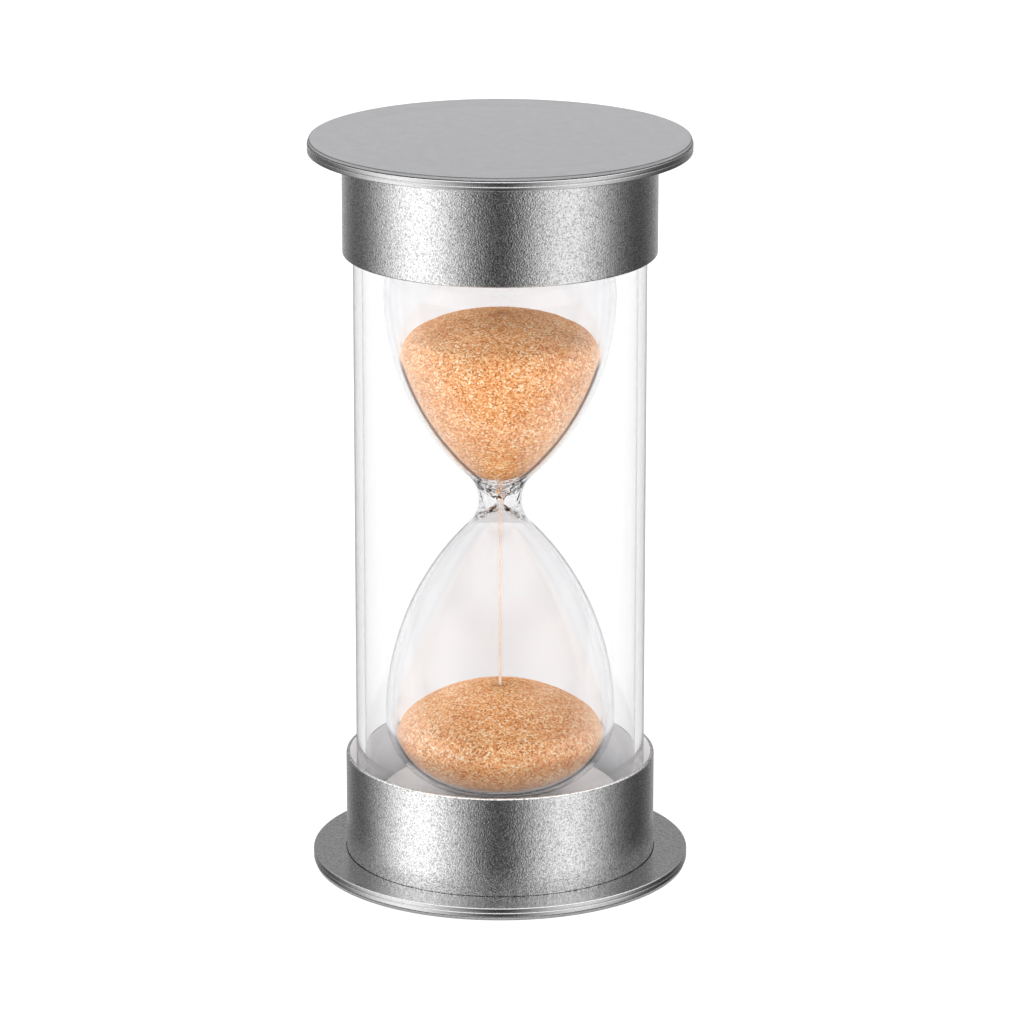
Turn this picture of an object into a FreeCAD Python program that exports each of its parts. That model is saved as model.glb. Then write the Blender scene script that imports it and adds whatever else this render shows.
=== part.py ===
# Sand timer: a sealed double glass bulb inside a clear tube, held between two metal caps.
#
# Frame: +Z up, origin at the centre of the face it stands on, millimetres.
# Every piece is a body of revolution about Z except the screws and their holes.
# The caps are alike: the top one is the base one mirrored about mid-height.
import FreeCAD, Part
import math
import os

from FreeCAD import Vector

# ---------------------------------------------------------------- driving dimensions
HEIGHT = 130.0               # overall, outer face to outer face
FLANGE_RADIUS = 33.0         # widest radius: rim of each plate
DISC_RADIUS = 32.75          # non-slip disc stuck over each plate and its screws
DISC_THICKNESS = 0.65
DISC_EDGE = 0.2              # rounding of the disc's edges
PLATE_THICKNESS = 1.6
PLATE_EDGE = 0.2             # rounding of the plate's rim
RIM_GROOVE_DEPTH = 0.18      # fine groove turned round the middle of the rim
RIM_GROOVE_HALF = 0.16
CAP_HEIGHT = 20.0            # outer face to the free end of the collar
COLLAR_RADIUS = 27.1
COLLAR_WALL = 0.7
COLLAR_SOCKET = 0.3          # the collar's foot stands this deep in the plate
SOCKET_PLAY = 0.06
COLLAR_EDGE = 0.3            # chamfer at the collar's free end
FOOT_RELIEF = 0.16           # turned relief where the collar meets the plate
FOOT_RELIEF_HEIGHT = 0.3

TUBE_RADIUS = 25.3
TUBE_WALL = 1.5
TUBE_END_Z = 6.5             # the tube's end, inside the cap
FIT = 0.05                   # play between nested pieces

GASKET_THICKNESS = 0.8       # rubber ring between the tube's end and the insert's step

INSERT_FLOOR = 2.0
INSERT_RIM_Z = 10.6          # top of the insert's inner wall
CUSHION_RADIUS = 21.0
CUSHION_TOP_Z = 12.8
CUSHION_EDGE = 0.5
CUSHION_HOLE_RADIUS = 3.0    # room for the filling stopper

SCREW_COUNT = 3
SCREW_CIRCLE = 23.4
SCREW_RADIUS = 1.0
SCREW_HEAD_RADIUS = 1.9
SCREW_HEAD_HEIGHT = 1.0
SCREW_TIP_Z = 5.4
SCREW_SLOT_WIDTH = 0.45
SCREW_SLOT_LENGTH = 2.0
SCREW_SLOT_DEPTH = 0.5

BULB_RADIUS = 20.1           # outside, at the widest place
BULB_WIDE_Z = 27.0           # height of the widest place of the lower bulb
WAIST_Z = 66.0               # height of the pinhole; the blown waist is a little off centre
BULB_END_DEPTH = 14.8        # widest place to the outside of the flattened end
BULB_KNUCKLE = 13.0          # the tighter curve between the side and the flattened end
GLASS_WALL = 1.1
NECK_RADIUS = 3.7            # outside of the neck
NECK_FILLET = 6.2            # hollow curve round the outside of the neck
THROAT_RADIUS = 0.4          # the pinhole the sand falls through
THROAT_FILLET = 1.2
FILL_HOLE_RADIUS = 1.9       # in the top end only

STOPPER_TAPER = 0.25
STOPPER_HEAD_RADIUS = 2.7
STOPPER_HEAD_HEIGHT = 1.2
STOPPER_DEPTH = 2.2

SAND_GAP = 0.12              # sand stays just clear of the glass in the model
UPPER_SAND_EDGE_Z = 91.6     # where the upper sand's surface meets the glass
UPPER_SAND_CROWN = 7.7       # height of its mound above that
UPPER_SAND_SHOULDER = 5.0    # rounding at the mound's edge
UPPER_SAND_TIP_RADIUS = 10.2  # rounded lower tip, just above the throat
LOWER_SAND_EDGE_Z = 23.2
LOWER_SAND_CROWN = 8.8
LOWER_SAND_SHOULDER = 4.5
STREAM_RADIUS = 0.25
STREAM_START_RADIUS = 0.7    # where the stream gathers under the upper sand

# ---------------------------------------------------------------- derived dimensions
MIDDLE_Z = HEIGHT / 2
PLATE_TOP_Z = DISC_THICKNESS + PLATE_THICKNESS
COLLAR_BORE = COLLAR_RADIUS - COLLAR_WALL
COLLAR_FOOT_Z = PLATE_TOP_Z - COLLAR_SOCKET
TUBE_BORE = TUBE_RADIUS - TUBE_WALL
STEP_Z = TUBE_END_Z - GASKET_THICKNESS
INSERT_FLOOR_TOP_Z = PLATE_TOP_Z + INSERT_FLOOR
CAVITY_RADIUS = BULB_RADIUS - GLASS_WALL
BULB_TOP_Z = HEIGHT - BULB_WIDE_Z + BULB_END_DEPTH
AXIS = Vector(0, 0, 1)
ORIGIN = Vector(0, 0, 0)


# ---------------------------------------------------------------- drawing helpers
def at(radius, z):
    """A point of a profile, in the half plane that is turned about Z."""
    return Vector(radius, 0, z)


def line(start, end):
    return Part.LineSegment(start, end).toShape()


def circle_arc(centre, radius, start, end):
    """The shorter arc from start to end on a circle in the profile's plane."""
    toward = (start + end) * 0.5 - centre
    toward.normalize()
    return Part.Arc(start, centre + toward * radius, end).toShape()


def rounded_end(widest, tip, knuckle, start=None):
    """Two arcs that meet smoothly, from the widest place (or a start past it) to the tip.

    The first is the knuckle, upright at the widest place; the second is the flatter crown,
    level where it meets the axis.
    """
    inset = widest.x - knuckle
    depth = abs(tip.z - widest.z)
    crown = (inset ** 2 + depth ** 2 - knuckle ** 2) / (2 * (depth - knuckle))
    knuckle_centre = at(inset, widest.z)
    crown_centre = at(0, tip.z + math.copysign(crown, widest.z - tip.z))
    outward = knuckle_centre - crown_centre
    outward.normalize()
    meeting = crown_centre + outward * crown
    return [
        circle_arc(knuckle_centre, knuckle, start or widest, meeting),
        circle_arc(crown_centre, crown, meeting, tip),
    ]


def outline(points):
    """Straight edges through the points, without the closing one."""
    return [line(a, b) for a, b in zip(points[:-1], points[1:])]


def turn(edges):
    """Turn a closed profile about Z into a solid."""
    profile = Part.Face(Part.Wire(edges))
    return profile.revolve(ORIGIN, AXIS, 360)


def turned(points):
    return turn(outline(points + [points[0]]))


def drum(radius, bottom_z, top_z):
    return Part.makeCylinder(radius, top_z - bottom_z, Vector(0, 0, bottom_z))


def ring(outer, inner, bottom_z, top_z):
    return drum(outer, bottom_z, top_z).cut(drum(inner, bottom_z, top_z))


def mirrored(shape):
    """The same piece in the top cap."""
    return shape.mirror(Vector(0, 0, MIDDLE_Z), AXIS)


def around(shape):
    """The shape repeated at each screw's place."""
    step = 360.0 / SCREW_COUNT
    return [shape.rotated(ORIGIN, AXIS, index * step) for index in range(SCREW_COUNT)]


# ---------------------------------------------------------------- caps
def softened(disc, rounding):
    """The disc with both its round edges filleted."""
    rims = [edge for edge in disc.Edges if isinstance(edge.Curve, Part.Circle)]
    return disc.makeFillet(rounding, rims)


def make_grip_disc():
    return softened(drum(DISC_RADIUS, 0, DISC_THICKNESS), DISC_EDGE)


def make_screw():
    """One countersunk screw with a cross recess, head flush with the plate's outer face."""
    head_z = DISC_THICKNESS
    neck_z = head_z + SCREW_HEAD_HEIGHT
    screw = turned([
        at(0, head_z),
        at(SCREW_HEAD_RADIUS, head_z),
        at(SCREW_RADIUS, neck_z),
        at(SCREW_RADIUS, SCREW_TIP_Z - SCREW_RADIUS),
        at(0, SCREW_TIP_Z),
    ])
    slot = Part.makeBox(
        SCREW_SLOT_LENGTH, SCREW_SLOT_WIDTH, SCREW_SLOT_DEPTH,
        Vector(-SCREW_SLOT_LENGTH / 2, -SCREW_SLOT_WIDTH / 2, head_z))
    recess = slot.fuse(slot.rotated(ORIGIN, AXIS, 90))
    return screw.cut(recess).translated(Vector(SCREW_CIRCLE, 0, 0))


def make_screw_clearance():
    """The hole that one screw passes through: countersink, shank and pointed end."""
    hole = turned([
        at(0, DISC_THICKNESS - FIT),
        at(SCREW_HEAD_RADIUS + 2 * FIT, DISC_THICKNESS - FIT),
        at(SCREW_RADIUS + FIT, DISC_THICKNESS + SCREW_HEAD_HEIGHT),
        at(SCREW_RADIUS + FIT, SCREW_TIP_Z + FIT),
        at(0, SCREW_TIP_Z + FIT),
    ])
    return hole.translated(Vector(SCREW_CIRCLE, 0, 0))


def make_plate(screw_holes):
    plate = softened(drum(FLANGE_RADIUS, DISC_THICKNESS, PLATE_TOP_Z), PLATE_EDGE)
    groove_z = DISC_THICKNESS + PLATE_THICKNESS / 2
    groove = turned([
        at(FLANGE_RADIUS + RIM_GROOVE_DEPTH, groove_z - 2 * RIM_GROOVE_HALF),
        at(FLANGE_RADIUS + RIM_GROOVE_DEPTH, groove_z + 2 * RIM_GROOVE_HALF),
        at(FLANGE_RADIUS - RIM_GROOVE_DEPTH, groove_z),
    ])
    socket = ring(COLLAR_RADIUS + SOCKET_PLAY, COLLAR_BORE - SOCKET_PLAY,
                  COLLAR_FOOT_Z, PLATE_TOP_Z)
    return plate.cut([groove, socket] + screw_holes)


def make_collar():
    relief_radius = COLLAR_RADIUS - FOOT_RELIEF
    relief_top_z = PLATE_TOP_Z + FOOT_RELIEF_HEIGHT
    return turned([
        at(COLLAR_BORE, COLLAR_FOOT_Z),
        at(COLLAR_RADIUS, COLLAR_FOOT_Z),
        at(COLLAR_RADIUS, PLATE_TOP_Z),
        at(relief_radius, PLATE_TOP_Z),
        at(relief_radius, relief_top_z - FOOT_RELIEF),
        at(COLLAR_RADIUS, relief_top_z),
        at(COLLAR_RADIUS, CAP_HEIGHT - COLLAR_EDGE),
        at(COLLAR_RADIUS - COLLAR_EDGE, CAP_HEIGHT),
        at(COLLAR_BORE + COLLAR_EDGE / 2, CAP_HEIGHT),
        at(COLLAR_BORE, CAP_HEIGHT - COLLAR_EDGE / 2),
    ])


def make_insert(screw_holes):
    """Cup with a wide foot; its step carries gasket and tube, the cushion fills its middle."""
    cup = turned([
        at(0, PLATE_TOP_Z),
        at(COLLAR_BORE - FIT, PLATE_TOP_Z),
        at(COLLAR_BORE - FIT, STEP_Z),
        at(TUBE_BORE - FIT, STEP_Z),
        at(TUBE_BORE - FIT, INSERT_RIM_Z),
        at(CUSHION_RADIUS + FIT, INSERT_RIM_Z),
        at(CUSHION_RADIUS + FIT, INSERT_FLOOR_TOP_Z),
        at(0, INSERT_FLOOR_TOP_Z),
    ])
    return cup.cut(screw_holes)


def make_cushion():
    """Foam disc, dished to take the end of the bulb."""
    cushion = turned([
        at(CUSHION_HOLE_RADIUS, INSERT_FLOOR_TOP_Z),
        at(CUSHION_RADIUS, INSERT_FLOOR_TOP_Z),
        at(CUSHION_RADIUS, CUSHION_TOP_Z - CUSHION_EDGE),
        at(CUSHION_RADIUS - CUSHION_EDGE, CUSHION_TOP_Z),
        at(CUSHION_HOLE_RADIUS, CUSHION_TOP_Z),
    ])
    widest = at(BULB_RADIUS + FIT, BULB_WIDE_Z)
    lowest = at(0, BULB_WIDE_Z - BULB_END_DEPTH - FIT)
    dish = turn(rounded_end(widest, lowest, BULB_KNUCKLE + FIT)
                + outline([lowest, at(0, BULB_WIDE_Z), widest]))
    return cushion.cut(dish)


def make_gasket():
    return ring(TUBE_RADIUS, TUBE_BORE, STEP_Z, TUBE_END_Z)


# ---------------------------------------------------------------- glass
def flank_radius(radius, throat, fillet, rise):
    """Radius of the long curve that runs into the throat's fillet without a corner."""
    reach = throat + fillet - radius
    return (reach ** 2 + rise ** 2 - fillet ** 2) / (2 * (radius - throat))


def half_skin(wide_z, inset, throat, fillet):
    """Edges of one skin of one bulb, from its end on the axis to the waist."""
    radius = BULB_RADIUS - inset
    outward = math.copysign(1, wide_z - WAIST_Z)
    widest = at(radius, wide_z)
    end = at(0, wide_z + outward * (BULB_END_DEPTH - inset))
    flank = flank_radius(radius, throat, fillet, abs(wide_z - WAIST_Z))
    flank_centre = at(radius - flank, wide_z)
    throat_centre = at(throat + fillet, WAIST_Z)
    meeting = flank_centre + (throat_centre - flank_centre) * (flank / (flank + fillet))
    knuckle_arc, crown_arc = rounded_end(widest, end, BULB_KNUCKLE - inset)
    return [
        crown_arc,
        knuckle_arc,
        circle_arc(flank_centre, flank, widest, meeting),
        circle_arc(throat_centre, fillet, meeting, at(throat, WAIST_Z)),
    ]


def double_bulb(inset, throat, fillet):
    """Solid bounded by one skin of the vessel, set in from the outside of the bulbs."""
    lower = half_skin(BULB_WIDE_Z, inset, throat, fillet)
    upper = half_skin(HEIGHT - BULB_WIDE_Z, inset, throat, fillet)
    end_z = BULB_WIDE_Z - BULB_END_DEPTH + inset
    axis = line(at(0, HEIGHT - end_z), at(0, end_z))
    return turn(lower + upper[::-1] + [axis])


def make_vessel():
    skin = double_bulb(0, NECK_RADIUS, NECK_FILLET)
    cavity = double_bulb(GLASS_WALL, THROAT_RADIUS, THROAT_FILLET)
    fill_hole = drum(FILL_HOLE_RADIUS, BULB_TOP_Z - 2 * GLASS_WALL, BULB_TOP_Z + FIT)
    return skin.cut([cavity, fill_hole])


def make_stopper():
    """Tapered plug in the filling hole, with a flat head outside the glass."""
    shank = FILL_HOLE_RADIUS - FIT / 2
    return turned([
        at(0, BULB_TOP_Z - STOPPER_DEPTH),
        at(shank - STOPPER_TAPER, BULB_TOP_Z - STOPPER_DEPTH),
        at(shank, BULB_TOP_Z - GLASS_WALL),
        at(shank, BULB_TOP_Z),
        at(STOPPER_HEAD_RADIUS, BULB_TOP_Z),
        at(STOPPER_HEAD_RADIUS, BULB_TOP_Z + STOPPER_HEAD_HEIGHT),
        at(0, BULB_TOP_Z + STOPPER_HEAD_HEIGHT),
    ])


# ---------------------------------------------------------------- sand
SAND_INSET = GLASS_WALL + SAND_GAP
SAND_RADIUS = BULB_RADIUS - SAND_INSET
UPPER_WIDE_Z = HEIGHT - BULB_WIDE_Z
SAND_FLANK = flank_radius(
    CAVITY_RADIUS, THROAT_RADIUS, THROAT_FILLET, UPPER_WIDE_Z - WAIST_Z) - SAND_GAP
SAND_FLANK_CENTRE = at(SAND_RADIUS - SAND_FLANK, UPPER_WIDE_Z)
UPPER_TIP_CENTRE_Z = SAND_FLANK_CENTRE.z - math.sqrt(
    (SAND_FLANK - UPPER_SAND_TIP_RADIUS) ** 2 - SAND_FLANK_CENTRE.x ** 2)
UPPER_TIP_Z = UPPER_TIP_CENTRE_Z - UPPER_SAND_TIP_RADIUS
LOWER_CROWN_Z = LOWER_SAND_EDGE_Z + LOWER_SAND_CROWN


def make_upper_sand():
    """Mounded on top, lying against the glass, rounded off just above the throat."""
    drop = SAND_FLANK_CENTRE.z - UPPER_SAND_EDGE_Z
    edge_radius = SAND_FLANK_CENTRE.x + math.sqrt(SAND_FLANK ** 2 - drop ** 2)
    edge = at(edge_radius, UPPER_SAND_EDGE_Z)
    crown = at(0, UPPER_SAND_EDGE_Z + UPPER_SAND_CROWN)
    tip = at(0, UPPER_TIP_Z)
    tip_centre = at(0, UPPER_TIP_CENTRE_Z)
    inward = tip_centre - SAND_FLANK_CENTRE
    inward.normalize()
    meeting = SAND_FLANK_CENTRE + inward * SAND_FLANK
    against_glass = [
        circle_arc(tip_centre, UPPER_SAND_TIP_RADIUS, tip, meeting),
        circle_arc(SAND_FLANK_CENTRE, SAND_FLANK, meeting, edge),
    ]
    mound = rounded_end(edge, crown, UPPER_SAND_SHOULDER)
    return turn(against_glass + mound + [line(crown, tip)])


def make_lower_sand():
    """Heap in the lower bulb's rounded end, with a low round crown and a rounded edge."""
    widest = at(SAND_RADIUS, BULB_WIDE_Z)
    bottom = at(0, BULB_WIDE_Z - BULB_END_DEPTH + SAND_INSET)
    knuckle = BULB_KNUCKLE - SAND_INSET
    drop = BULB_WIDE_Z - LOWER_SAND_EDGE_Z
    edge = at(SAND_RADIUS - knuckle + math.sqrt(knuckle ** 2 - drop ** 2), LOWER_SAND_EDGE_Z)
    bed = rounded_end(widest, bottom, knuckle, start=edge)

    crown = at(0, LOWER_CROWN_Z)
    mound = rounded_end(edge, crown, LOWER_SAND_SHOULDER)
    return turn(bed + [line(bottom, crown)] + mound[::-1])


def make_stream():
    """Thin thread of falling sand, gathered at the upper tip, through the throat to the heap."""
    return turned([
        at(0, LOWER_CROWN_Z),
        at(STREAM_RADIUS, LOWER_CROWN_Z),
        at(STREAM_RADIUS, WAIST_Z + THROAT_FILLET),
        at(STREAM_START_RADIUS, UPPER_TIP_Z),
        at(0, UPPER_TIP_Z),
    ])


# ---------------------------------------------------------------- assembly
def cap_pieces():
    screw_holes = around(make_screw_clearance())
    return {
        "grip_disc": make_grip_disc(),
        "screws": Part.makeCompound(around(make_screw())),
        "plate": make_plate(screw_holes),
        "collar": make_collar(),
        "insert": make_insert(screw_holes),
        "cushion": make_cushion(),
        "gasket": make_gasket(),
    }


def all_pieces():
    pieces = {}
    for name, shape in cap_pieces().items():
        pieces["base_" + name] = shape
        pieces["top_" + name] = mirrored(shape)
    pieces["outer_tube"] = ring(TUBE_RADIUS, TUBE_BORE, TUBE_END_Z, HEIGHT - TUBE_END_Z)
    pieces["glass_vessel"] = make_vessel()
    pieces["fill_stopper"] = make_stopper()
    pieces["upper_sand"] = make_upper_sand()
    pieces["lower_sand"] = make_lower_sand()
    pieces["sand_stream"] = make_stream()
    return pieces


os.makedirs("parts", exist_ok=True)
for node, shape in all_pieces().items():
    shape.exportStep(f"parts/{node}.step")
    print(f"{node}: {len(shape.Solids)} solid(s), {shape.Volume:.1f} mm3, valid {shape.isValid()}")
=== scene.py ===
"""Looks of the sand timer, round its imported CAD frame. Metres, +Z up, same frame as the CAD."""
import math

import bmesh
import bpy
import numpy as np
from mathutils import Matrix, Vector


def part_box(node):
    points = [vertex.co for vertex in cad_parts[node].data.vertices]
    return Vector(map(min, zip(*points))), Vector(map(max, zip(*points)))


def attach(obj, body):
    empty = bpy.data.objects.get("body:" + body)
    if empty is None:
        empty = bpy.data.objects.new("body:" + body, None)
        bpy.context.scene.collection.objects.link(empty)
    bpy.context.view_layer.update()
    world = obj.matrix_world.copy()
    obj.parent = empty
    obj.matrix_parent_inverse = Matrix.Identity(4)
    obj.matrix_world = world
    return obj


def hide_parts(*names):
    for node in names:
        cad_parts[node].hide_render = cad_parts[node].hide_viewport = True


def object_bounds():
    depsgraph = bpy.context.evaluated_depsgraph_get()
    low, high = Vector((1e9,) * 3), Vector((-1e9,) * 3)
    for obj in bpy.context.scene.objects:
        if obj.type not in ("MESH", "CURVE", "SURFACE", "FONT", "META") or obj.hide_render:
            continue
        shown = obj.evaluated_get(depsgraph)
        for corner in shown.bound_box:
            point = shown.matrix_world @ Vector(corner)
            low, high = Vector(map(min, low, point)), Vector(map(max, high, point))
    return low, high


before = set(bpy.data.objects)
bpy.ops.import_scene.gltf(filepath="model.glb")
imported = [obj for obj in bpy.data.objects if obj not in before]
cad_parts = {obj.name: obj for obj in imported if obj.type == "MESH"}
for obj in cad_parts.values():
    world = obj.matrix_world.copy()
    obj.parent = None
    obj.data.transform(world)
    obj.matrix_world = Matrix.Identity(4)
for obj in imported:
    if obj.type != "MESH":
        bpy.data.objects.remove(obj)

CAD_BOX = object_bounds()
MM = 0.001
BODY = "root"
SEGMENTS = 256                       # round every turned piece but the sand
SAND_SEGMENTS = 448
STREAM_SEGMENTS = 16

# ---------------------------------------------------------------- places, from the frame
BOTTOM_Z = CAD_BOX[0][2]
TOP_Z = CAD_BOX[1][2]
MIDDLE_Z = (BOTTOM_Z + TOP_Z) / 2


def radius_of(node):
    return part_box(node)[1].x


def bottom_of(node):
    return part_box(node)[0].z


def top_of(node):
    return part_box(node)[1].z


# ---------------------------------------------------------------- sizes the boxes don't give
FIT = 0.05 * MM                      # left between pieces that touch
DISC_EDGE = 0.2 * MM                 # each EDGE is how far that piece's corners are rounded
DISC_RING_RADIUS = 26.5 * MM         # faint ring pressed into the disc over the collar
DISC_RING_HALF = 0.45 * MM
DISC_RING_DEPTH = 0.03 * MM
DISC_SEAM_LIGHT = 0.15 * DISC_EDGE   # outermost part of the rounded edge, which stays light
PLATE_EDGE = 0.2 * MM
RIM_WIDTH = 0.3 * MM                 # turned bright, on the plate's face
RIM_GROOVE_DEPTH = 0.18 * MM
RIM_GROOVE_HALF = 0.16 * MM
SOCKET_PLAY = 0.16 * MM              # gap round the collar's foot in the plate
SOCKET_SEAM = 0.176 * MM             # how far past the collar's skins the painted shadow in the gap goes
COLLAR_WALL = 0.7 * MM
COLLAR_EDGE = 0.3 * MM
COLLAR_FOOT_EDGE = 0.05 * MM
INSERT_EDGE = 0.2 * MM
TUBE_WALL = 1.5 * MM
TUBE_EDGE = 0.15 * MM
TUBE_SEAM_RISE = 1.0 * MM            # from mid-height up to where the tube's outline ends
GLASS_WALL = 1.1 * MM
WAIST_RISE = 1.0 * MM                # the throat lies a little above mid-height
BULB_KNUCKLE = 13.0 * MM
BULB_END_DEPTH = 14.8 * MM
NECK_RADIUS = 3.7 * MM
NECK_FILLET = 6.2 * MM
THROAT_RADIUS = 0.4 * MM
THROAT_FILLET = 1.2 * MM
FILL_HOLE_RADIUS = 1.9 * MM
SAND_GAP = 0.12 * MM
UPPER_SAND_CROWN = 7.7 * MM          # from the mound's edge up to its top
UPPER_SAND_SHOULDER = 5.0 * MM
UPPER_SAND_TIP_RADIUS = 10.2 * MM
LOWER_SAND_CROWN = 8.8 * MM
LOWER_SAND_SHOULDER = 4.5 * MM
STREAM_RADIUS = 0.28 * MM
STREAM_START_RADIUS = 0.7 * MM
CUSHION_HOLE_RADIUS = 3.0 * MM
CUSHION_EDGE = 0.5 * MM

WAIST_Z = MIDDLE_Z + WAIST_RISE
DISC_TOP = top_of("base_grip_disc")
PLATE_TOP = top_of("base_plate")
COLLAR_RADIUS = radius_of("base_collar")
COLLAR_BORE = COLLAR_RADIUS - COLLAR_WALL
TUBE_RADIUS = radius_of("outer_tube")
TUBE_BORE = TUBE_RADIUS - TUBE_WALL
BULB_RADIUS = radius_of("glass_vessel")
BULB_WIDE_Z = bottom_of("glass_vessel") + BULB_END_DEPTH
UPPER_WIDE_Z = 2 * MIDDLE_Z - BULB_WIDE_Z
SAND_RADIUS = BULB_RADIUS - GLASS_WALL - SAND_GAP
UPPER_SAND_EDGE_Z = top_of("upper_sand") - UPPER_SAND_CROWN
LOWER_SAND_EDGE_Z = top_of("lower_sand") - LOWER_SAND_CROWN


# ---------------------------------------------------------------- profiles
def arc(centre, start, end, count):
    """Points from start to end, the shorter way round the centre, without the last one."""
    first = math.atan2(start[1] - centre[1], start[0] - centre[0])
    last = math.atan2(end[1] - centre[1], end[0] - centre[0])
    sweep = (last - first + math.pi) % (2 * math.pi) - math.pi
    radius = math.dist(centre, start)
    points = []
    for step in range(count):
        angle = first + sweep * step / count
        points.append((centre[0] + radius * math.cos(angle), centre[1] + radius * math.sin(angle)))
    return points


def part_way(start, end, share):
    return (start[0] + (end[0] - start[0]) * share, start[1] + (end[1] - start[1]) * share)


def toward(start, end, distance):
    return part_way(start, end, distance / math.dist(start, end))


def softened(points, radius, steps=4):
    """The open outline with its inner corners rounded.

    A further point close to either side of each corner keeps the flats flat under smooth
    shading, and the rounding takes at most 0.4 of the shorter side.
    """
    out = [points[0]]
    for before, corner, after in zip(points[:-2], points[1:-1], points[2:]):
        angle_in = math.atan2(before[1] - corner[1], before[0] - corner[0])
        angle_out = math.atan2(after[1] - corner[1], after[0] - corner[0])
        half = abs((angle_out - angle_in + math.pi) % (2 * math.pi) - math.pi) / 2
        room = 0.4 * min(math.dist(before, corner), math.dist(corner, after))
        reach = min(radius / math.tan(half), room)
        start = toward(corner, before, reach)
        end = toward(corner, after, reach)
        middle = part_way(start, end, 0.5)
        centre = toward(corner, middle, reach / math.cos(half))
        out.append(toward(corner, before, 1.15 * reach))
        out += arc(centre, start, end, steps)
        out += [end, toward(corner, after, 1.15 * reach)]
    return out + [points[-1]]


def rounded_end(widest, tip, knuckle, count, start=None):
    """A knuckle arc and a flatter crown arc, from the widest place, or start, to the axis."""
    inset = widest[0] - knuckle
    depth = abs(tip[1] - widest[1])
    crown = (inset ** 2 + depth ** 2 - knuckle ** 2) / (2 * (depth - knuckle))
    knuckle_centre = (inset, widest[1])
    crown_centre = (0, tip[1] + math.copysign(crown, widest[1] - tip[1]))
    meeting = toward(crown_centre, knuckle_centre, crown)
    return (arc(knuckle_centre, start or widest, meeting, count)
            + arc(crown_centre, meeting, tip, count) + [tip])


def flipped(points):
    """The profile mirrored about mid-height, read the other way."""
    return [(radius, 2 * MIDDLE_Z - z) for radius, z in reversed(points)]


def flank_radius(radius, throat, fillet, rise):
    """Radius of the arc from a bulb's widest place that meets the throat's fillet smoothly."""
    reach = throat + fillet - radius
    return (reach ** 2 + rise ** 2 - fillet ** 2) / (2 * (radius - throat))


def half_skin(wide_z, inset, throat, fillet, count=18):
    """One skin of one bulb, from the axis at its end to the waist."""
    radius = BULB_RADIUS - inset
    outward = math.copysign(1, wide_z - WAIST_Z)
    widest = (radius, wide_z)
    tip = (0, wide_z + outward * (BULB_END_DEPTH - inset))
    flank = flank_radius(radius, throat, fillet, abs(wide_z - WAIST_Z))
    flank_centre = (radius - flank, wide_z)
    throat_centre = (throat + fillet, WAIST_Z)
    meeting = toward(flank_centre, throat_centre, flank)
    end = rounded_end(widest, tip, BULB_KNUCKLE - inset, count)[::-1]
    return (end[:-1] + arc(flank_centre, widest, meeting, 2 * count)
            + arc(throat_centre, meeting, (throat, WAIST_Z), count) + [(throat, WAIST_Z)])


def whole_skin(inset, throat, fillet):
    """One skin of the double bulb, from its lower end to the edge of the filling hole."""
    lower = half_skin(BULB_WIDE_Z, inset, throat, fillet)
    upper = half_skin(UPPER_WIDE_Z, inset, throat, fillet)[::-1]
    kept = [point for point in upper[1:] if point[0] > FILL_HOLE_RADIUS or point[1] < UPPER_WIDE_Z]
    beyond = upper[1 + len(kept)]
    share = (kept[-1][0] - FILL_HOLE_RADIUS) / (kept[-1][0] - beyond[0])
    return lower + kept + [part_way(kept[-1], beyond, share)]


# ---------------------------------------------------------------- turned meshes
def turned(name, profile, closed=False, sharp=35, segments=SEGMENTS, stir=None):
    """Turns a profile about Z, with faces outward. Points on the axis become one vertex.

    Edges over sharp degrees stay sharp, and stir, if given, takes and returns an array of the
    vertices' places.
    """
    vertices = []
    rows = []
    for radius, z in profile:
        on_axis = radius < 1e-9
        count = 1 if on_axis else segments
        rows.append([len(vertices) + index for index in range(count)])
        for index in range(count):
            angle = 2 * math.pi * index / segments
            vertices.append((radius * math.cos(angle), radius * math.sin(angle), z))
    pairs = list(zip(rows[:-1], rows[1:]))
    if closed:
        pairs.append((rows[-1], rows[0]))
    faces = []
    for low, high in pairs:
        for index in range(segments):
            following = (index + 1) % segments
            corners = [low[index % len(low)], low[following % len(low)],
                       high[following % len(high)], high[index % len(high)]]
            corners = list(dict.fromkeys(corners))
            if len(corners) > 2:
                faces.append(corners)
    if stir:
        vertices = stir(np.array(vertices)).tolist()
    mesh = bpy.data.meshes.new(name)
    mesh.from_pydata(vertices, [], faces)
    shape = bmesh.new()
    shape.from_mesh(mesh)
    bmesh.ops.recalc_face_normals(shape, faces=shape.faces)
    shape.to_mesh(mesh)
    shape.free()
    mesh.shade_smooth()
    if sharp:
        mesh.set_sharp_from_angle(angle=math.radians(sharp))
    piece = bpy.data.objects.new(name, mesh)
    bpy.context.scene.collection.objects.link(piece)
    return piece


def finished(piece, node, slot, *materials):
    """Gives the piece its materials and its body, and hides the CAD node it stands for. The slot is
    not used.
    """
    for material in materials:
        piece.data.materials.append(material)
    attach(piece, BODY)
    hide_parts(node)
    return piece


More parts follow.
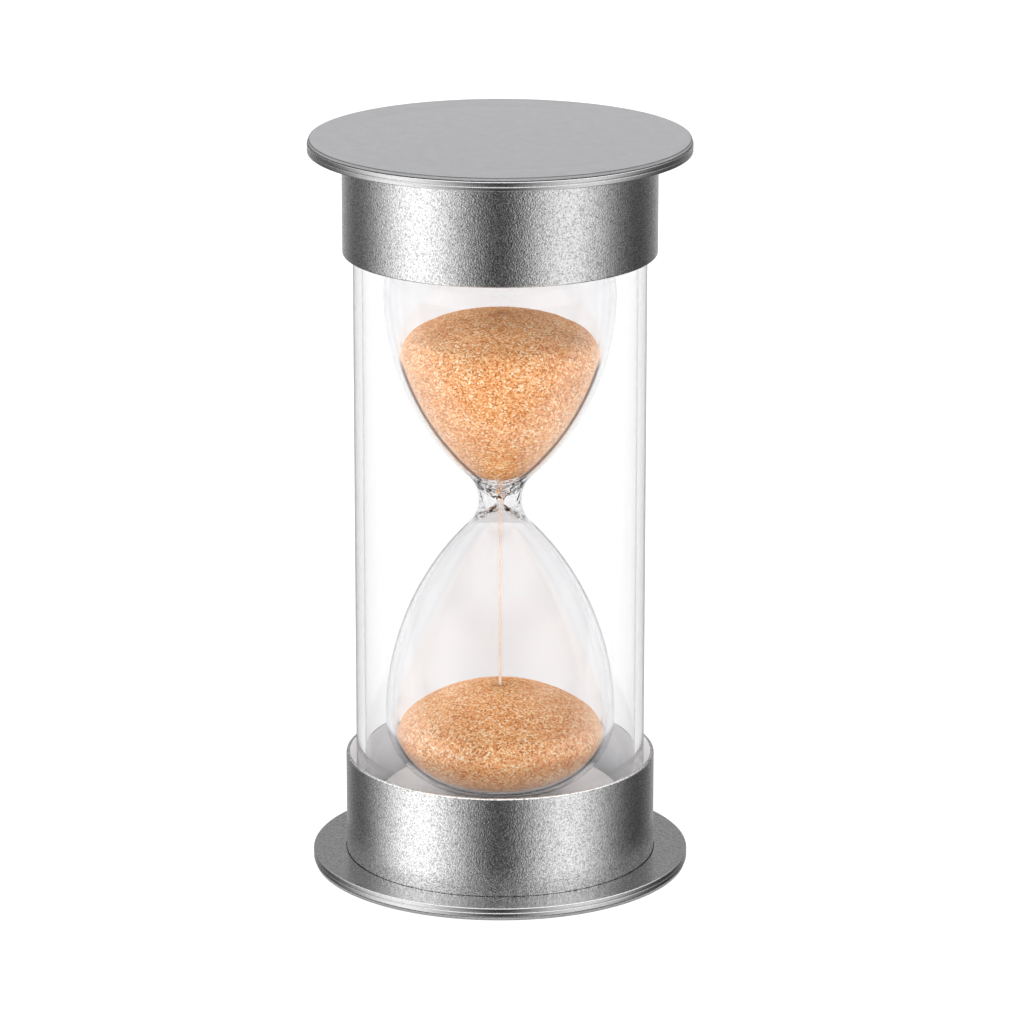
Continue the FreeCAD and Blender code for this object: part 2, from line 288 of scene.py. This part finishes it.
# ---------------------------------------------------------------- node helpers
class Nodes:
    """The node tree of a material or of the world, with short ways to add and link nodes."""

    def __init__(self, owner, output="ShaderNodeOutputMaterial", place="Object"):
        owner.use_nodes = True
        self.owner = owner
        self.tree = owner.node_tree
        self.tree.nodes.clear()
        self.output = self.add(output)
        self.place = self.add("ShaderNodeTexCoord").outputs[place]

    def add(self, kind, **settings):
        node = self.tree.nodes.new(kind)
        for name, value in settings.items():
            setattr(node, name, value)
        return node

    def feed(self, value, socket):
        """Links the value to the socket if it is another node's, or else sets it there."""
        if isinstance(value, bpy.types.NodeSocket):
            self.tree.links.new(value, socket)
        else:
            socket.default_value = value

    def surface(self, shader):
        self.feed(shader, self.output.inputs["Surface"])
        return self.owner

    def rays(self, output):
        return self.add("ShaderNodeLightPath").outputs[output]

    def axis(self, letter):
        """The place's X, Y or Z."""
        node = self.add("ShaderNodeSeparateXYZ")
        self.feed(self.place, node.inputs[0])
        return node.outputs[letter]

    def height(self):
        """Height above the floor as a share of the whole timer's."""
        return self.maths("DIVIDE", self.axis("Z"), TOP_Z)

    def maths(self, how, first, second):
        node = self.add("ShaderNodeMath", operation=how)
        self.feed(first, node.inputs[0])
        self.feed(second, node.inputs[1])
        return node.outputs[0]

    def noise(self, size, detail=2.0, roughness=0.5):
        """Smooth noise whose features are about size metres across."""
        node = self.add("ShaderNodeTexNoise")
        node.inputs["Scale"].default_value = 1 / size
        node.inputs["Detail"].default_value = detail
        node.inputs["Roughness"].default_value = roughness
        self.feed(self.place, node.inputs["Vector"])
        return node.outputs["Fac"]

    def cells(self, size, output):
        """A value of the grains of about size metres that fill space."""
        node = self.add("ShaderNodeTexVoronoi")
        node.inputs["Scale"].default_value = 1 / size
        self.feed(self.place, node.inputs["Vector"])
        return node.outputs[output]

    def grains(self, size):
        """A random number for each grain."""
        node = self.add("ShaderNodeSeparateColor")
        self.feed(self.cells(size, "Color"), node.inputs["Color"])
        return node.outputs["Red"]

    def dimples(self, size):
        """The distance from each grain's middle."""
        return self.cells(size, "Distance")

    def ramp(self, value, stops):
        node = self.add("ShaderNodeValToRGB")
        elements = node.color_ramp.elements
        elements.remove(elements[-1])
        elements[0].position, elements[0].color = stops[0][0], (*stops[0][1], 1)
        for position, colour in stops[1:]:
            elements.new(position).color = (*colour, 1)
        self.feed(value, node.inputs["Fac"])
        return node.outputs["Color"]

    def span(self, value, low, high):
        """The value's 0..1 stretched to low..high."""
        node = self.add("ShaderNodeMapRange")
        node.inputs["To Min"].default_value = low
        node.inputs["To Max"].default_value = high
        self.feed(value, node.inputs["Value"])
        return node.outputs["Result"]

    def mixed(self, first, second, how="MIX", amount=1.0):
        node = self.add("ShaderNodeMix", data_type="RGBA", blend_type=how)
        self.feed(amount, node.inputs["Factor"])
        self.feed(first, node.inputs[6])
        self.feed(second, node.inputs[7])
        return node.outputs[2]

    def bump(self, height, depth, strength=0.5):
        """Bump of a height map; depth is what its full range stands for, in metres."""
        node = self.add("ShaderNodeBump")
        node.inputs["Strength"].default_value = strength
        node.inputs["Distance"].default_value = depth
        self.feed(height, node.inputs["Height"])
        return node.outputs["Normal"]

    def shader(self, kind, **values):
        node = self.add(kind)
        for name, value in values.items():
            self.feed(value, node.inputs[name.replace("_", " ")])
        return node.outputs[0]

    def either(self, choice, first, second):
        """The first shader where the choice is 0, and the second where it is 1."""
        node = self.add("ShaderNodeMixShader")
        for value, socket in zip((choice, first, second), node.inputs):
            self.feed(value, socket)
        return node.outputs[0]

    def principled(self, **values):
        return self.surface(self.shader("ShaderNodeBsdfPrincipled", **values))


def new_material(name):
    return Nodes(bpy.data.materials.new(name))


def grey(level, tint=1.0):
    return (level, level, level * tint)


def share_of_height(z):
    """What Nodes.height() gives at this height."""
    return z / TOP_Z


# ---------------------------------------------------------------- materials
BLAST_GRAIN = 0.24 * MM
BLAST_FINE_GRAIN = 0.17 * MM
BLAST_PIT = 0.26 * MM
SAND_GRAIN = 0.26 * MM
LOWER_SAND_PAINTED_SHADE = grey(0.78)        # painted shade: the lower heap, which gets more light, is painted darker than the upper
UPPER_SAND_PAINTED_SHADE = grey(0.97)
RING_PAINTED_HIGHLIGHT = grey(1.05)
PAINTED_RING_Z = 82.0 * MM             # a faint lighter ring painted round the upper sand: a painted highlight for a reflection in the glass
PAINTED_RING_HALF = 0.35 * MM
GLASS_TINT = (0.975, 0.975, 0.98, 1.0)
GLASS_IOR = 1.47
TUBE_IOR = 1.46
OUTLINE_BLEND = 2 * MM               # over which the painted dark outline of the sand fades in the glass above it
WAVE_SIZE = 1.3 * MM                 # of the uneven glass round the waist
WAVE_DEPTH = 0.35 * MM
WAVES_BELOW = 2.8 * MM               # the waves are gone this far below the waist,
WAVES_FULL_ABOVE = 3.5 * MM          # full up to here above it
WAVES_ABOVE = 7.0 * MM               # and gone here


def blasted_metal(name, darkest, roughness, depth):
    """Sandblasted silver: every grain tilts and tints the reflection a little."""
    n = new_material(name)
    grain = n.mixed(n.grains(BLAST_GRAIN), n.grains(BLAST_FINE_GRAIN), amount=0.35)
    pits = n.mixed(n.dimples(BLAST_PIT), n.noise(BLAST_PIT, 1, 0.6), "ADD")
    return n.principled(
        Base_Color=n.ramp(grain, [(0.05, grey(darkest)), (0.5, grey(0.82)), (0.95, grey(1.0))]),
        Metallic=1.0,
        Roughness=n.span(n.noise(0.4 * MM), *roughness),
        Normal=n.bump(pits, depth),
    )


def turned_metal():
    """Finely turned bright metal, for the rims and edges."""
    n = new_material("turned_metal")
    return n.principled(
        Base_Color=n.ramp(n.noise(0.5 * MM, 3), [(0.2, grey(0.60)), (0.8, grey(0.72))]),
        Metallic=1.0,
        Roughness=n.span(n.noise(0.3 * MM), 0.22, 0.32),
        Normal=n.bump(n.noise(0.12 * MM), 0.006 * MM),
    )


def grip_rubber():
    """Smooth satin-grey sheet with a faint mottling."""
    n = new_material("grip_rubber")
    mottle = n.mixed(n.noise(2.5 * MM, 4), n.noise(0.35 * MM), amount=0.4)
    return n.principled(
        Base_Color=n.ramp(mottle, [(0.25, grey(0.122, 1.03)), (0.75, grey(0.157, 1.03))]),
        Roughness=n.span(n.noise(0.5 * MM), 0.44, 0.58),
        Normal=n.bump(n.noise(0.25 * MM, 3, 0.6), 0.008 * MM),
    )


def plain(name, low, high, roughness, bump_size, bump_depth, metallic=0.0):
    """A moulded or rolled surface: slight mottling, uneven gloss and a fine tooth."""
    n = new_material(name)
    return n.principled(
        Base_Color=n.ramp(n.noise(4 * bump_size, 3), [(0.2, low), (0.8, high)]),
        Metallic=metallic,
        Roughness=n.span(n.noise(2 * bump_size), *roughness),
        Normal=n.bump(n.noise(bump_size), bump_depth),
    )


def white_foam():
    """Closed-cell foam: white, matte, finely pitted."""
    n = new_material("white_foam")
    return n.principled(
        Base_Color=n.ramp(n.noise(0.6 * MM, 3), [(0.2, grey(0.80, 1.02)), (0.8, grey(0.88, 1.01))]),
        Roughness=n.span(n.noise(0.4 * MM), 0.75, 0.9),
        Normal=n.bump(n.dimples(0.3 * MM), 0.04 * MM, 0.35),
    )


def clear(n, **values):
    """Clear glass or acrylic that lets lamp light straight through to what is inside."""
    glass = n.shader("ShaderNodeBsdfGlass", Roughness=0.0, **values)
    passing = n.shader("ShaderNodeBsdfTransparent", Color=(0.99, 0.99, 0.99, 1.0))
    return n.surface(n.either(n.rays("Is Shadow Ray"), glass, passing))


def tint_and_painted_edge_shade(n, stops):
    """A tint, with painted shade where its stops turn dark, that depends on how far the surface is
    turned from the eye: 0 square on, 1 edge on.
    """
    return n.ramp(n.add("ShaderNodeLayerWeight").outputs["Facing"], stops)


def clear_tube():
    n = new_material("clear_tube")
    # Painted shade: the tint turns dark grey where the tube is seen edge on, standing in for the
    # dark edge of the thick clear wall.
    tint = tint_and_painted_edge_shade(n, [
        (0.0, grey(0.975)), (0.55, grey(0.965)), (0.82, grey(0.955)), (0.89, grey(0.72))])
    return clear(n, Color=tint, IOR=TUBE_IOR)


def bulb_glass():
    """Blown glass with painted shade: a dark band painted where the wall is seen nearly edge on, so
    that it looks dark along the sand's outline and clear elsewhere.
    """
    n = new_material("bulb_glass")
    at = share_of_height
    # Painted shade: dark grey where the wall is seen nearly edge on, kept to the heights of the
    # sand's outline, standing in for the dark edge of thick glass.
    outline = tint_and_painted_edge_shade(n, [
        (0.0, grey(0.985)), (0.62, grey(0.97)), (0.655, grey(0.30, 1.1)),
        (0.68, grey(0.30, 1.1)), (0.72, grey(0.93))])
    clearness = n.ramp(n.height(), [
        (at(LOWER_SAND_EDGE_Z), grey(0.0)),
        (at(LOWER_SAND_EDGE_Z + OUTLINE_BLEND), grey(0.95)),
        (at(bottom_of("upper_sand") - OUTLINE_BLEND), grey(0.95)),
        (at(bottom_of("upper_sand")), grey(0.0)),
        (at(UPPER_SAND_EDGE_Z), grey(0.0)),
        (at(UPPER_SAND_EDGE_Z + OUTLINE_BLEND), grey(0.95)),
    ])
    near_waist = n.ramp(n.height(), [
        (at(WAIST_Z - WAVES_BELOW), grey(0.0)), (at(WAIST_Z), grey(1.0)),
        (at(WAIST_Z + WAVES_FULL_ABOVE), grey(1.0)), (at(WAIST_Z + WAVES_ABOVE), grey(0.0))])
    waves = n.mixed(n.noise(WAVE_SIZE, 1), near_waist, "MULTIPLY")
    return clear(n, Color=n.mixed(outline, GLASS_TINT, amount=clearness), IOR=GLASS_IOR,
                 Normal=n.bump(waves, WAVE_DEPTH, 1.0))


def copper_sand():
    """Dry copper-coloured sand: grains from pale peach to brown, in soft drifts."""
    n = new_material("copper_sand")
    colour = n.ramp(n.grains(SAND_GRAIN), [
        (0.0, (0.46, 0.15, 0.030)),
        (0.25, (0.78, 0.32, 0.105)),
        (0.55, (0.95, 0.46, 0.185)),
        (0.8, (1.0, 0.64, 0.34)),
        (1.0, (1.0, 0.92, 0.70)),
    ])
    drift = n.ramp(n.noise(7 * MM, 3), [(0.35, (0.90, 0.80, 0.70)), (0.65, (1.0, 1.0, 1.0))])
    # Painted highlight: a thin lighter ring round the upper sand stands in for a reflection in the
    # glass.
    line = share_of_height(PAINTED_RING_Z)
    half = share_of_height(PAINTED_RING_HALF)
    # Painted shade by height: the lower heap is painted darker than the upper, to even out the
    # extra light it gets.
    painted_height_shade = n.ramp(n.height(), [
        (0.45, LOWER_SAND_PAINTED_SHADE), (0.55, UPPER_SAND_PAINTED_SHADE), (line - half, UPPER_SAND_PAINTED_SHADE),
        (line, RING_PAINTED_HIGHLIGHT), (line + half, UPPER_SAND_PAINTED_SHADE)])
    return n.principled(
        Base_Color=n.mixed(n.mixed(colour, drift, "MULTIPLY"), painted_height_shade, "MULTIPLY"),
        Roughness=n.span(n.noise(0.3 * MM), 0.55, 0.8),
        Specular_IOR_Level=0.12,
        Normal=n.bump(n.dimples(SAND_GRAIN), 0.10 * MM, 0.4),
    )


def falling_sand():
    """The same sand in a thin stream, which lets half the light through."""
    n = new_material("falling_sand")
    return n.principled(
        Base_Color=n.ramp(n.grains(SAND_GRAIN), [(0.0, (0.50, 0.38, 0.30)),
                                                 (1.0, (0.70, 0.58, 0.50))]),
        Roughness=n.span(n.noise(0.3 * MM), 0.6, 0.8),
        Specular_IOR_Level=0.12,
        Alpha=0.5,
    )


# ---------------------------------------------------------------- caps
def disc_profile():
    radius = radius_of("base_grip_disc")
    ring_in = DISC_RING_RADIUS - DISC_RING_HALF
    ring_out = DISC_RING_RADIUS + DISC_RING_HALF
    face = [(0, BOTTOM_Z), (ring_in, BOTTOM_Z),
            (DISC_RING_RADIUS, BOTTOM_Z + DISC_RING_DEPTH), (ring_out, BOTTOM_Z)]
    edge = softened([(ring_out + DISC_EDGE, BOTTOM_Z), (radius, BOTTOM_Z),
                     (radius, DISC_TOP), (ring_out, DISC_TOP)], DISC_EDGE)
    return face + edge + [(0, DISC_TOP)]


def plate_profile():
    """Flange with a grooved rim and a socket for the collar's foot."""
    radius = radius_of("base_plate")
    groove_z = (DISC_TOP + PLATE_TOP) / 2
    socket_out = COLLAR_RADIUS + SOCKET_PLAY
    socket_in = COLLAR_BORE - SOCKET_PLAY
    foot_z = bottom_of("base_collar")
    rim = softened([
        (socket_out, DISC_TOP),
        (radius, DISC_TOP),
        (radius, groove_z - RIM_GROOVE_HALF),
        (radius - RIM_GROOVE_DEPTH, groove_z),
        (radius, groove_z + RIM_GROOVE_HALF),
        (radius, PLATE_TOP),
        (socket_out, PLATE_TOP),
    ], PLATE_EDGE)
    return [(0, DISC_TOP)] + rim + [
        (socket_out, foot_z), (socket_in, foot_z), (socket_in, PLATE_TOP), (0, PLATE_TOP)]


def collar_profile():
    top = top_of("base_collar")
    foot = bottom_of("base_collar")
    lip = COLLAR_EDGE / 2
    side = softened([
        (COLLAR_BORE + lip, foot),
        (COLLAR_RADIUS, foot),
        (COLLAR_RADIUS, top - COLLAR_EDGE),
    ], COLLAR_FOOT_EDGE, 2)
    outer_edge = arc((COLLAR_RADIUS - COLLAR_EDGE, top - COLLAR_EDGE),
                     side[-1], (COLLAR_RADIUS - COLLAR_EDGE, top), 6)
    inner_edge = arc((COLLAR_BORE + lip, top - lip), (COLLAR_BORE + lip, top),
                     (COLLAR_BORE, top - lip), 4)
    return side + outer_edge[1:] + inner_edge + [(COLLAR_BORE, top - lip), (COLLAR_BORE, foot)]


def insert_profile():
    """Cup with a step that the gasket lies on and a wall between tube and cushion."""
    foot_radius = radius_of("base_insert")
    wall_out = TUBE_BORE - FIT
    wall_in = radius_of("base_cushion") + FIT
    step = bottom_of("base_gasket")
    rim = top_of("base_insert")
    floor = bottom_of("base_cushion")
    return [(0, PLATE_TOP)] + softened([
        (wall_out, PLATE_TOP), (foot_radius, PLATE_TOP), (foot_radius, step),
        (wall_out, step), (wall_out, rim), (wall_in, rim), (wall_in, floor), (0, floor),
    ], INSERT_EDGE)


def cushion_profile():
    """Ring with a shallow dish that the end of the bulb rests in."""
    radius = radius_of("base_cushion")
    low = bottom_of("base_cushion")
    top = top_of("base_cushion")
    widest = (BULB_RADIUS + FIT, BULB_WIDE_Z)
    tip = (0, BULB_WIDE_Z - BULB_END_DEPTH - FIT)
    seat = rounded_end(widest, tip, BULB_KNUCKLE + FIT, 60)
    dish = [point for point in seat if point[0] > CUSHION_HOLE_RADIUS and point[1] < top]
    side = softened([
        (radius - 2 * CUSHION_EDGE, low), (radius, low), (radius, top),
        (dish[0][0], top)], CUSHION_EDGE)
    return [(CUSHION_HOLE_RADIUS, low)] + side + dish + [(CUSHION_HOLE_RADIUS, dish[-1][1])]


def two_of(name, profile, slot, materials, closed=False, paint=None):
    """The base piece and its mirrored twin in the top cap."""
    pieces = []
    for cap, outline in (("base", profile), ("top", flipped(profile))):
        piece = turned(f"{cap}_{name}_piece", outline, closed)
        finished(piece, f"{cap}_{name}", slot, *materials)
        if paint:
            paint(piece)
        pieces.append(piece)
    return pieces


def paint_ring(piece, material_index, inner, outer):
    """Gives a further material to the faces whose middle lies between the two radii."""
    for face in piece.data.polygons:
        if inner < math.hypot(face.center.x, face.center.y) < outer:
            face.material_index = material_index


def paint_disc(piece):
    edge = radius_of("base_grip_disc")
    # Painted shade: the rounded edge is painted dark, all but its outermost part.
    paint_ring(piece, 1, edge - DISC_EDGE, edge - DISC_SEAM_LIGHT)


def paint_plate(piece):
    edge = radius_of("base_plate")
    paint_ring(piece, 1, edge - RIM_WIDTH, edge + FIT)
    # Painted shadow: the faces in and round the gap at the collar's foot are painted dark.
    paint_ring(piece, 2, COLLAR_BORE - SOCKET_SEAM, COLLAR_RADIUS + SOCKET_SEAM)


def paint_collar(piece):
    paint_ring(piece, 1, 0, COLLAR_BORE + FIT)


blasted = blasted_metal("blasted_metal", 0.40, roughness=(0.22, 0.30), depth=0.055 * MM)
satin = blasted_metal("satin_metal", 0.50, roughness=(0.13, 0.20), depth=0.025 * MM)
bright = turned_metal()
rubber = grip_rubber()
foam = white_foam()
# Painted shade, for the dark lines on the disc's rounded edge and in the gap round the collar's
# foot.
painted_shade = plain("painted_seam_shade", grey(0.03), grey(0.05), roughness=(0.5, 0.7),
               bump_size=0.2 * MM, bump_depth=0.004 * MM)
lacquer = plain("bore_lacquer", grey(0.80, 1.03), grey(0.86, 1.03), roughness=(0.35, 0.45),
                bump_size=0.3 * MM, bump_depth=0.008 * MM)
insert_plastic = plain("insert_plastic", grey(0.70, 1.04), grey(0.76, 1.04),
                       roughness=(0.40, 0.52), bump_size=0.25 * MM, bump_depth=0.008 * MM)

two_of("grip_disc", disc_profile(), "grip_rubber", [rubber, painted_shade], paint=paint_disc)
two_of("plate", plate_profile(), "satin_metal", [satin, bright, painted_shade], paint=paint_plate)
two_of("collar", collar_profile(), "blasted_metal", [blasted, lacquer], closed=True,
       paint=paint_collar)
two_of("insert", insert_profile(), "insert_plastic", [insert_plastic])
for cushion in two_of("cushion", cushion_profile(), "white_foam", [foam], closed=True):
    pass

# ---------------------------------------------------------------- clear pieces
tube_low = bottom_of("outer_tube")
tube_high = top_of("outer_tube")
tube_profile = softened([
    (TUBE_BORE, MIDDLE_Z), (TUBE_BORE, tube_low), (TUBE_RADIUS, tube_low),
    (TUBE_RADIUS, tube_high), (TUBE_BORE, tube_high), (TUBE_BORE, MIDDLE_Z + TUBE_SEAM_RISE),
], TUBE_EDGE)
finished(turned("outer_tube_piece", tube_profile, closed=True), "outer_tube", "clear_tube",
         clear_tube())

vessel_profile = (whole_skin(0, NECK_RADIUS, NECK_FILLET)
                  + whole_skin(GLASS_WALL, THROAT_RADIUS, THROAT_FILLET)[::-1])
finished(turned("glass_vessel_piece", vessel_profile), "glass_vessel", "bulb_glass",
         bulb_glass())

# ---------------------------------------------------------------- sand
SAND_SEED = 10
SAND_STIR = 0.03 * MM
STREAM_SEED = 3
STREAM_STIR = 0.015 * MM
STREAM_ROWS = 160


def stirred(seed, depth):
    """Moves each vertex at random, up to depth, so that grains stand out along the edges."""
    def stir(places):
        chance = np.random.default_rng(seed)
        return places + chance.uniform(-depth, depth, places.shape)
    return stir


def upper_sand_profile():
    """A rounded tip, a flank along the bulb's inner skin, and a domed top."""
    cavity_flank = flank_radius(BULB_RADIUS - GLASS_WALL, THROAT_RADIUS, THROAT_FILLET,
                                UPPER_WIDE_Z - WAIST_Z)
    flank = cavity_flank - SAND_GAP
    flank_centre = (SAND_RADIUS - flank, UPPER_WIDE_Z)
    tip = (0, bottom_of("upper_sand"))
    tip_centre = (0, tip[1] + UPPER_SAND_TIP_RADIUS)
    drop = flank_centre[1] - UPPER_SAND_EDGE_Z
    edge = (flank_centre[0] + math.sqrt(flank ** 2 - drop ** 2), UPPER_SAND_EDGE_Z)
    meeting = toward(flank_centre, tip_centre, flank)
    return (arc(tip_centre, tip, meeting, 24)
            + arc(flank_centre, meeting, edge, 100)
            + rounded_end(edge, (0, top_of("upper_sand")), UPPER_SAND_SHOULDER, 40))


def lower_sand_profile():
    """A bed in the end of the bulb and a domed top."""
    widest = (SAND_RADIUS, BULB_WIDE_Z)
    tip = (0, bottom_of("lower_sand"))
    knuckle = BULB_KNUCKLE - GLASS_WALL - SAND_GAP
    drop = BULB_WIDE_Z - LOWER_SAND_EDGE_Z
    edge = (SAND_RADIUS - knuckle + math.sqrt(knuckle ** 2 - drop ** 2), LOWER_SAND_EDGE_Z)
    bed = rounded_end(widest, tip, knuckle, 40, start=edge)
    return bed[::-1][:-1] + rounded_end(edge, (0, top_of("lower_sand")), LOWER_SAND_SHOULDER, 50)


def stream_profile():
    """A thin thread that widens above the throat, where it leaves the heap."""
    low = bottom_of("sand_stream")
    high = top_of("sand_stream")
    throat_top = WAIST_Z + THROAT_FILLET
    outline = []
    for row in range(STREAM_ROWS + 1):
        z = low + (high - low) * row / STREAM_ROWS
        widening = max(0.0, (z - throat_top) / (high - throat_top))
        outline.append((STREAM_RADIUS + (STREAM_START_RADIUS - STREAM_RADIUS) * widening, z))
    return [(0, low)] + outline + [(0, high)]


sand = copper_sand()
for node, profile in (("upper_sand", upper_sand_profile()), ("lower_sand", lower_sand_profile())):
    heap = turned(f"{node}_piece", profile, sharp=None, segments=SAND_SEGMENTS,
                  stir=stirred(SAND_SEED, SAND_STIR))
    finished(heap, node, "copper_sand", sand)
finished(turned("sand_stream_piece", stream_profile(), sharp=None, segments=STREAM_SEGMENTS,
                stir=stirred(STREAM_SEED, STREAM_STIR)),
         "sand_stream", "copper_sand", falling_sand())

# ---------------------------------------------------------------- hidden CAD pieces
steel = plain("screw_steel", grey(0.50), grey(0.62), roughness=(0.25, 0.40),
              bump_size=0.15 * MM, bump_depth=0.004 * MM, metallic=1.0)
black = plain("black_rubber", grey(0.012), grey(0.025), roughness=(0.55, 0.75),
              bump_size=0.2 * MM, bump_depth=0.01 * MM)
stopper = plain("stopper_plastic", grey(0.70, 0.97), grey(0.76, 0.97), roughness=(0.35, 0.50),
                bump_size=0.3 * MM, bump_depth=0.006 * MM)
KEPT_NODES = {
    "base_screws": steel, "top_screws": steel,
    "base_gasket": black, "top_gasket": black,
    "fill_stopper": stopper,
}
for node, material in KEPT_NODES.items():
    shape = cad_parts[node]
    shape.data.materials.clear()
    shape.data.materials.append(material)


# ---------------------------------------------------------------- stage
FLOOR_HALF = 4.0
FLOOR_FRONT_Y = -0.05                # the floor's front lies on the camera's side of this


def floor_material():
    """White light table, whose front leaves no veil of reflected light on the glass."""
    n = new_material("pale_floor")
    reflected = n.maths("GREATER_THAN", n.rays("Glossy Depth"), 0.5)
    in_front = n.maths("LESS_THAN", n.axis("Y"), FLOOR_FRONT_Y)
    veil = n.maths("MULTIPLY", reflected, in_front)
    return n.principled(
        Base_Color=n.ramp(n.noise(0.4, 3), [(0.3, grey(0.040)), (0.7, grey(0.045))]),
        Roughness=0.8,
        Emission_Color=(1.0, 1.0, 1.0, 1.0),
        Emission_Strength=n.span(veil, 1.0, 0.0),
    )


floor_mesh = bpy.data.meshes.new("floor")
floor_mesh.from_pydata(
    [(-FLOOR_HALF, -FLOOR_HALF, 0), (FLOOR_HALF, -FLOOR_HALF, 0),
     (FLOOR_HALF, FLOOR_HALF, 0), (-FLOOR_HALF, FLOOR_HALF, 0)], [], [(0, 1, 2, 3)])
floor = bpy.data.objects.new("floor", floor_mesh)
floor.data.materials.append(floor_material())
bpy.context.scene.collection.objects.link(floor)
floor.visible_glossy = False
floor.visible_shadow = False

# ---------------------------------------------------------------- lamps
AIM = Vector((0.0, 0.0, MIDDLE_Z))
TENT_DISTANCE = 1.2
TENT_WIDTH = 1.1
TENT_HEIGHT = 0.45
# Panels of the light tent: azimuth and power. Those behind light the tops of the heaps.
TENT_PANELS = ((0, 19.0), (60, 5.5), (120, 15.0), (180, 22.0), (240, 15.0), (300, 6.0))
TENT_RINGS = ((16, 1.0), (32, 0.15))         # elevation, and the share of that power


def softbox(name, azimuth, elevation, distance, width, height, power, shines=True):
    """A rectangular lamp that isn't seen itself. Azimuth 0 is the camera's side, 90 its right.

    One that doesn't shine lights matte surfaces only, and leaves no mark on metal or glass.
    """
    lamp = bpy.data.lights.new(name, "AREA")
    lamp.shape = "RECTANGLE"
    lamp.size = width
    lamp.size_y = height
    lamp.energy = power
    holder = bpy.data.objects.new(name, lamp)
    bpy.context.scene.collection.objects.link(holder)
    turn, lift = math.radians(azimuth), math.radians(elevation)
    offset = distance * Vector((
        math.cos(lift) * math.sin(turn), -math.cos(lift) * math.cos(turn), math.sin(lift)))
    holder.location = AIM + offset
    holder.rotation_euler = (-offset).to_track_quat("-Z", "Y").to_euler()
    holder.visible_camera = False
    holder.visible_glossy = shines
    holder.visible_transmission = shines


softbox("overhead", azimuth=0, elevation=88, distance=1.4, width=2.4, height=2.4, power=9)
for elevation, share in TENT_RINGS:
    for azimuth, power in TENT_PANELS:
        softbox(f"tent_{elevation}_{azimuth}", azimuth, elevation, TENT_DISTANCE, TENT_WIDTH,
                TENT_HEIGHT, share * power, shines=False)

# ---------------------------------------------------------------- world
# Soft light from all round, as lobes: azimuth, tightness, radiance, and the sine of elevation
# where each is full and where it is gone. Tightness 0 is alike all round.
WORLD_LOBES = (
    (-62, 6.7, 1.45, 0.30, 0.60),            # left
    (51, 6.7, 1.06, 0.30, 0.60),             # right
    (6, 22.0, -0.17, 0.30, 0.60),            # the darker strip between those two
    (180, 9.0, 0.70, -0.12, 0.12),           # behind, below the level
    (180, 2.0, 0.27, -0.12, -0.30),          # behind, above it
    (0, 0.0, 1.30, 0.70, 0.48),              # overhead
)


def world_lobe(n, level_heading, azimuth, tightness, radiance, full_z, gone_z):
    turn = math.radians(azimuth)
    along = n.add("ShaderNodeVectorMath", operation="DOT_PRODUCT")
    n.feed(level_heading, along.inputs[0])
    n.feed((math.sin(turn), -math.cos(turn), 0), along.inputs[1])
    off_axis = n.maths("SUBTRACT", along.outputs["Value"], 1.0)
    round_it = n.maths("EXPONENT", n.maths("MULTIPLY", off_axis, tightness), 0.0)
    fade = n.add("ShaderNodeMapRange", interpolation_type="SMOOTHSTEP")
    n.feed(n.axis("Z"), fade.inputs["Value"])
    n.feed(full_z, fade.inputs["From Min"])
    n.feed(gone_z, fade.inputs["From Max"])
    n.feed(radiance, fade.inputs["To Min"])
    n.feed(0.0, fade.inputs["To Max"])
    return n.maths("MULTIPLY", round_it, fade.outputs[0])


def world_light():
    """White to the eye, straight on or through glass; everything else sees the lobes.

    What the glass reflects from the front is the lobes too, so that no veil lies on the sand.
    """
    world = bpy.data.worlds.new("studio")
    bpy.context.scene.world = world
    n = Nodes(world, "ShaderNodeOutputWorld", "Generated")
    level = n.add("ShaderNodeVectorMath", operation="MULTIPLY")
    n.feed(n.place, level.inputs[0])
    n.feed((1, 1, 0), level.inputs[1])
    level_heading = n.add("ShaderNodeVectorMath", operation="NORMALIZE")
    n.feed(level.outputs[0], level_heading.inputs[0])
    total = 0.0
    for lobe in WORLD_LOBES:
        total = n.maths("ADD", world_lobe(n, level_heading.outputs[0], *lobe), total)

    reflected = n.maths("GREATER_THAN", n.rays("Glossy Depth"), 0.5)
    to_front = n.maths("LESS_THAN", n.axis("Y"), 0.0)
    veil_free = n.maths("SUBTRACT", 1.0, n.maths("MULTIPLY", reflected, to_front))
    through_glass = n.maths("MULTIPLY", n.rays("Is Transmission Ray"), veil_free)
    seen = n.maths("MAXIMUM", n.rays("Is Camera Ray"), through_glass)
    lobes = n.shader("ShaderNodeBackground", Color=total)
    white = n.shader("ShaderNodeBackground", Color=(1.0, 1.0, 1.0, 1.0))
    n.surface(n.either(seen, lobes, white))


world_light()

# ---------------------------------------------------------------- camera
CAMERA_PLACE = (0.0, -0.8683, 0.3135)
CAMERA_DOWN = 16.065                         # degrees below the level
CAMERA_LENS = 182.53
CAMERA_SHIFT_X = 0.0116

camera_data = bpy.data.cameras.new("camera")
camera_data.lens = CAMERA_LENS
camera_data.sensor_width = 36.0
camera_data.shift_x = CAMERA_SHIFT_X
camera = bpy.data.objects.new("camera", camera_data)
camera.location = CAMERA_PLACE
camera.rotation_euler = (math.radians(90 - CAMERA_DOWN), 0, 0)
bpy.context.scene.collection.objects.link(camera)
bpy.context.scene.camera = camera
bpy.context.scene.view_settings.view_transform = "Standard"
